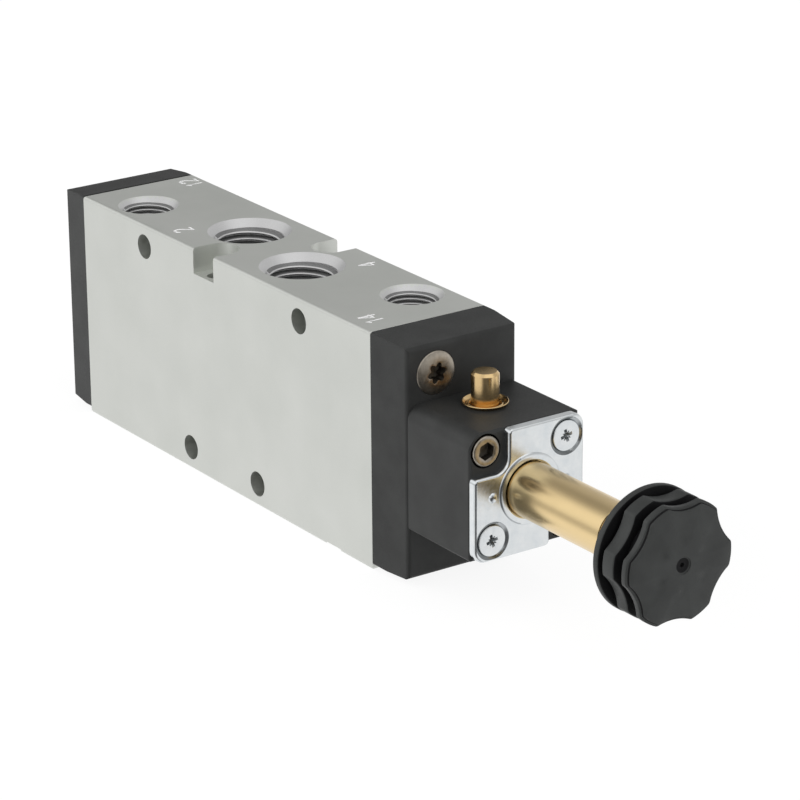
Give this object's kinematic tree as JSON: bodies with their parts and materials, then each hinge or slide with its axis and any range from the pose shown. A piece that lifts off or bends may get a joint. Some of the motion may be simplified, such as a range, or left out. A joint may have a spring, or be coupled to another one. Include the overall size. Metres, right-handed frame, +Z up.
{
  "type": "pneumatic solenoid valve",
  "caption": "Inline 5/2 spool valve with a solenoid pilot head, manual override pin, bare coil stem and lobed coil nut.",
  "frame": {"origin": "centre of the valve body's flat bottom face", "axes": "+X along the spool from the end cap to the coil nut, +Z up towards ports 2 and 4"},
  "size_m": [0.1793, 0.025, 0.045],
  "materials": {
    "body_aluminium": "satin",
    "spool_aluminium": "polished",
    "black_plastic": "fine grained",
    "nut_plastic": "satin",
    "black_rubber": "matte",
    "seal_rubber": "matte",
    "spacer_plastic": "moulded",
    "dark_screw_steel": "burnished",
    "zinc_plate": "bright zinc",
    "core_steel": "ground",
    "spring_steel": "drawn wire",
    "satin_brass": "satin turned",
    "polished_brass": "polished turned"
  },
  "bodies": {
    "valve": {"valve_body": "body_aluminium", "end_cap": "black_plastic", "end_cap_gasket": "black_rubber", "end_cap_screws": "dark_screw_steel", "pilot_adapter": "black_plastic", "adapter_gasket": "black_rubber", "adapter_screws": "dark_screw_steel", "return_spring": "spring_steel", "stack_sleeve": "satin_brass", "seal_ring_1": "seal_rubber", "seal_ring_2": "seal_rubber", "seal_ring_3": "seal_rubber", "seal_ring_4": "seal_rubber", "seal_ring_5": "seal_rubber", "seal_ring_6": "seal_rubber", "seal_spacer_1": "spacer_plastic", "seal_spacer_2": "spacer_plastic", "seal_spacer_3": "spacer_plastic", "seal_spacer_4": "spacer_plastic", "seal_spacer_5": "spacer_plastic", "pilot_block": "black_plastic", "block_gasket": "black_rubber", "block_screws": "dark_screw_steel", "override_bush": "polished_brass", "override_spring": "spring_steel", "pilot_nozzle": "satin_brass", "retaining_plate": "zinc_plate", "plate_screws": "zinc_plate", "stem_tube": "satin_brass", "stem_o_ring": "black_rubber", "fixed_core": "core_steel", "plunger_spring": "spring_steel"},
    "spool_group": {"spool": "spool_aluminium", "spring_seat": "spring_steel", "piston": "black_plastic", "piston_seal": "black_rubber", "piston_bumper": "black_rubber"},
    "override_button": {"override_pin": "polished_brass", "override_o_ring": "black_rubber"},
    "pilot_plunger": {"plunger": "core_steel", "plunger_seal": "black_rubber"},
    "nut_washer": {"knob_washer": "black_rubber"},
    "coil_nut": {"knob": "nut_plastic", "knob_insert": "satin_brass"}
  },
  "joints": [
    {"name": "spool_shift", "type": "slide", "parent": "valve", "child": "spool_group", "axis": [-1, 0, 0], "range_m": [0, 0.0045], "stiffness_N_per_m": 600, "springref_m": -0.002, "deforming": ["return_spring"]},
    {"name": "override_push", "type": "slide", "parent": "valve", "child": "override_button", "axis": [0, 0, -1], "range_m": [0, 0.003], "stiffness_N_per_m": 300, "springref_m": -0.001, "deforming": ["override_spring"]},
    {"name": "plunger_lift", "type": "slide", "parent": "valve", "child": "pilot_plunger", "axis": [1, 0, 0], "range_m": [0, 0.001], "stiffness_N_per_m": 300, "springref_m": -0.001, "deforming": ["plunger_spring"]},
    {"name": "nut_advance", "type": "slide", "parent": "valve", "child": "nut_washer", "axis": [1, 0, 0], "range_m": [-0.003, 0.00225]},
    {"name": "nut_turn", "type": "hinge", "parent": "nut_washer", "child": "coil_nut", "pos_m": [0.1115, 0, 0.0225], "axis": [1, 0, 0], "range_deg": [-1440, 1080]}
  ],
  "couplings": [
    {"joint": "nut_turn", "follows": "nut_advance", "rad_per_m": 8377.6}
  ]
}
